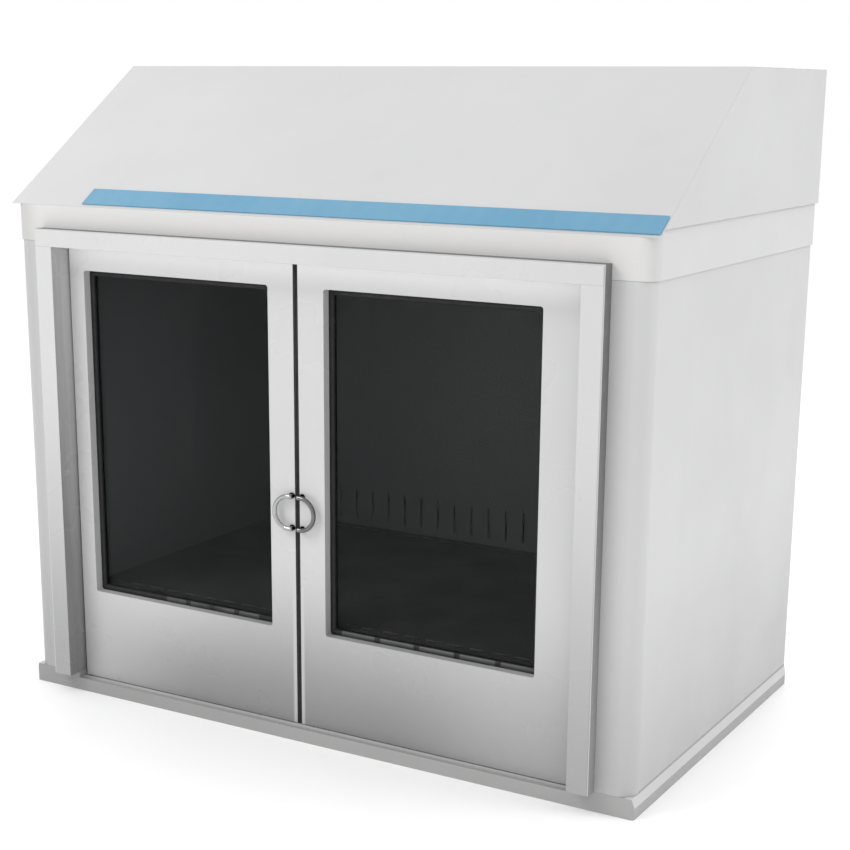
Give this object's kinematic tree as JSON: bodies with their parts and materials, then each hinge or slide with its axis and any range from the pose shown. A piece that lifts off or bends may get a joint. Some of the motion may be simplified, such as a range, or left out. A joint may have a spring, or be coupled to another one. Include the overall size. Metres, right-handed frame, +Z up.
{
  "type": "ultraviolet garment steriliser cabinet",
  "caption": "Floor-standing ultraviolet cabinet for hanging garments, with a sloped hood, a blue light strip and a proud portal around recessed glazed doors.",
  "frame": {"origin": "on the floor, in the underside of the base plate, midway between the sides and midway between the front and back faces of the body", "axes": "+Z up, -Y towards the front with the doors, +X to the right of someone facing the doors"},
  "size_m": [1.816, 1.128, 1.668],
  "materials": {
    "white_enamel": "fine satin powder coat, light grey-white",
    "plinth_enamel": "satin powder coat, light grey",
    "dark_lining": "matt dark grey enamel",
    "floor_steel": "brushed stainless steel",
    "reflector": "bright rolled aluminium",
    "chrome": "polished chrome plate",
    "pivot_steel": "turned steel",
    "bronze": "turned bronze",
    "black_rubber": "matt black rubber",
    "grey_rubber": "matt dark grey rubber",
    "black_plastic": "matt black moulding",
    "red_plastic": "gloss red moulding",
    "blue_diffuser": "translucent light blue acrylic",
    "board": "white solder mask",
    "window_glass": "clear toughened glass with a slight grey tint",
    "lamp_glass": "clear quartz glass with metal caps",
    "white_plastic": "white moulding",
    "grey_steel": "grey enamel",
    "filter_media": "pleated carbon filter media"
  },
  "bodies": {
    "cabinet": {"plinth": "plinth_enamel", "base_plate": "plinth_enamel", "left_side_panel": "white_enamel", "right_side_panel": "white_enamel", "header_band": "white_enamel", "hood_left_side": "white_enamel", "hood_right_side": "white_enamel", "hood_roof": "white_enamel", "hood_back": "white_enamel", "back_panel": "white_enamel", "light_diffuser": "blue_diffuser", "light_board": "board", "left_jamb": "white_enamel", "right_jamb": "white_enamel", "portal_head": "white_enamel", "portal_seal": "grey_rubber", "bulkhead": "dark_lining", "centre_mullion": "dark_lining", "plant_cover": "dark_lining", "chamber_left_wall": "dark_lining", "chamber_right_wall": "dark_lining", "chamber_back_wall": "dark_lining", "chamber_ceiling": "dark_lining", "chamber_floor": "dark_lining", "hanging_rail": "floor_steel", "rail_sockets": "floor_steel", "front_uv_lamp": "lamp_glass", "rear_uv_lamp": "lamp_glass", "lamp_holders": "white_plastic", "lamp_reflectors": "reflector", "lamp_guards": "floor_steel", "ballasts": "grey_steel", "control_box": "grey_steel", "fan_housing": "grey_steel", "fan_motor": "grey_steel", "filter_cartridge": "filter_media", "exhaust_grille": "black_plastic", "service_cover": "white_enamel", "cover_screws": "floor_steel", "cable_gland": "black_plastic", "switch_bezel": "black_plastic", "pivot_bushes": "bronze", "catch_magnets": "black_plastic"},
    "left_door": {"left_leaf": "white_enamel", "left_leaf_liner": "dark_lining", "left_glass": "window_glass", "left_gasket": "black_rubber", "left_seals": "black_rubber", "left_handle": "chrome", "left_pivots": "pivot_steel"},
    "right_door": {"right_leaf": "white_enamel", "right_leaf_liner": "dark_lining", "right_glass": "window_glass", "right_gasket": "black_rubber", "right_seals": "black_rubber", "right_handle": "chrome", "right_pivots": "pivot_steel"},
    "fan": {"fan_wheel": "black_plastic"},
    "rocker": {"power_rocker": "red_plastic"}
  },
  "joints": [
    {"name": "left_door_hinge", "type": "hinge", "parent": "cabinet", "child": "left_door", "pos_m": [-0.73, -0.499, 0.62], "axis": [0, 0, -1], "range_deg": [0, 90]},
    {"name": "right_door_hinge", "type": "hinge", "parent": "cabinet", "child": "right_door", "pos_m": [0.73, -0.499, 0.62], "axis": [0, 0, 1], "range_deg": [0, 90]},
    {"name": "fan_spin", "type": "hinge", "parent": "cabinet", "child": "fan", "pos_m": [0, 0.04, 1.26], "axis": [0, 0, 1], "continuous": true},
    {"name": "rocker_throw", "type": "hinge", "parent": "cabinet", "child": "rocker", "pos_m": [0.52, 0.532, 0.12], "axis": [-1, 0, 0], "range_deg": [0, 16]}
  ]
}
